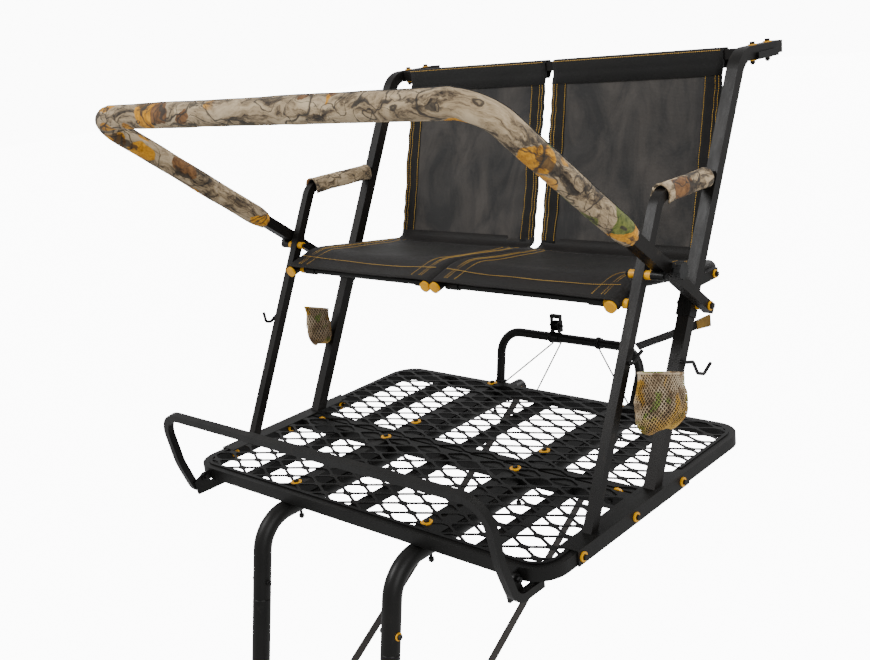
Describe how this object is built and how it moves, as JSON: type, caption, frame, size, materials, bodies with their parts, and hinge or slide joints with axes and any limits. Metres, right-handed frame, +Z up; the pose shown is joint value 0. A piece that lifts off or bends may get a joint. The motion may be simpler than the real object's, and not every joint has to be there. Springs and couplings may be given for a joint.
{
  "type": "ladder tree stand",
  "caption": "Two-seat hunting ladder stand: sectional ladder, mesh deck, sling seats and backs, fold-down footrest and padded shooting rail.",
  "frame": {"origin": "on the ground, midway between the ladder's two feet", "axes": "+Z up, +Y from the ladder's feet back towards the tree, +X across the stand to the right as seen from in front"},
  "size_m": [1.3956, 2.1076, 4.5679],
  "materials": {
    "black_steel": "black powder coat with a light gloss",
    "post_steel": "brown-black powder coat, slightly worn",
    "mesh_steel": "powder-coated expanded metal",
    "brace_steel": "grey-brown powder coat",
    "bolt_steel": "black fasteners",
    "amber_plastic": "amber moulded plastic",
    "black_plastic": "black moulded plastic",
    "seat_cloth": "dark charcoal seat fabric with orange stitching",
    "back_mesh": "grey sling mesh with black webbing edges",
    "camo_foam": "camouflage cloth over foam",
    "camo_net": "camouflage netting",
    "armrest_foam": "black closed-cell foam",
    "webbing": "black woven webbing",
    "rope": "black braided cord"
  },
  "bodies": {
    "stand": {"accessory_hooks": "bolt_steel", "armrest_pad_left": "armrest_foam", "armrest_pad_right": "armrest_foam", "back_sling_left": "back_mesh", "back_sling_right": "back_mesh", "braces": "brace_steel", "footrest_bolts": "bolt_steel", "footrest_lugs": "black_steel", "front_post_left": "post_steel", "front_post_right": "post_steel", "ladder_bolts": "bolt_steel", "ladder_feet_and_caps": "black_plastic", "ladder_lower_rails": "black_steel", "ladder_middle_rails": "black_steel", "ladder_rungs": "black_steel", "ladder_top_tubes": "black_steel", "ladder_upper_rails": "black_steel", "ladder_washers": "amber_plastic", "net_bag_left": "camo_net", "net_bag_right": "camo_net", "platform_beams": "black_steel", "platform_bolts": "bolt_steel", "platform_cross_tubes": "black_steel", "platform_front_mesh": "mesh_steel", "platform_front_rim": "black_steel", "platform_rear_mesh": "mesh_steel", "platform_rear_rim": "black_steel", "platform_ribs": "black_steel", "platform_washers": "amber_plastic", "rail_pivot_brackets": "black_steel", "ratchet_frame": "bolt_steel", "ratchet_strap": "webbing", "rear_post_left": "post_steel", "rear_post_right": "post_steel", "rope_left": "rope", "rope_rear": "rope", "rope_right": "rope", "seat_bolts": "bolt_steel", "seat_bushings": "amber_plastic", "seat_crossbars": "black_steel", "seat_end_caps": "amber_plastic", "seat_end_plugs": "black_plastic", "seat_sling_left": "seat_cloth", "seat_sling_right": "seat_cloth", "seat_stub_brackets": "black_steel", "seat_tubes": "black_steel", "side_angles": "black_steel", "side_frame_bolts": "bolt_steel", "side_frame_washers": "amber_plastic", "top_brackets": "black_steel", "top_crossbar": "post_steel", "tree_bar_arch": "black_steel", "tree_bar_saddles": "black_steel"},
    "footrest": {"footrest": "black_steel"},
    "rail_arms": {"rail_lower_arms": "post_steel"},
    "rail": {"rail_upper_tube": "post_steel", "rail_pad": "camo_foam"},
    "knob_left": {"rail_knob_left": "black_plastic"},
    "knob_right": {"rail_knob_right": "black_plastic"},
    "ratchet_lever": {"ratchet_lever": "bolt_steel"}
  },
  "joints": [
    {"name": "footrest_fold", "type": "hinge", "parent": "stand", "child": "footrest", "pos_m": [0, 0.827, 3.514], "axis": [-1, 0, 0], "range_deg": [0, 102]},
    {"name": "rail_tilt", "type": "hinge", "parent": "stand", "child": "rail_arms", "pos_m": [0, 1.539, 3.942], "axis": [-1, 0, 0], "range_deg": [0, 70]},
    {"name": "rail_extend", "type": "slide", "parent": "rail_arms", "child": "rail", "axis": [0, -0.7944, 0.6074], "range_m": [0, 0.1]},
    {"name": "knob_left_turn", "type": "hinge", "parent": "rail", "child": "knob_left", "pos_m": [-0.69, 1.36264, 4.07684], "axis": [-1, 0, 0], "range_deg": [0, 720]},
    {"name": "knob_right_turn", "type": "hinge", "parent": "rail", "child": "knob_right", "pos_m": [0.69, 1.36264, 4.07684], "axis": [1, 0, 0], "range_deg": [0, 720]},
    {"name": "ratchet_lever_swing", "type": "hinge", "parent": "stand", "child": "ratchet_lever", "pos_m": [-0.032, 1.83411, 3.728], "axis": [1, 0, 0], "range_deg": [0, 80]}
  ]
}
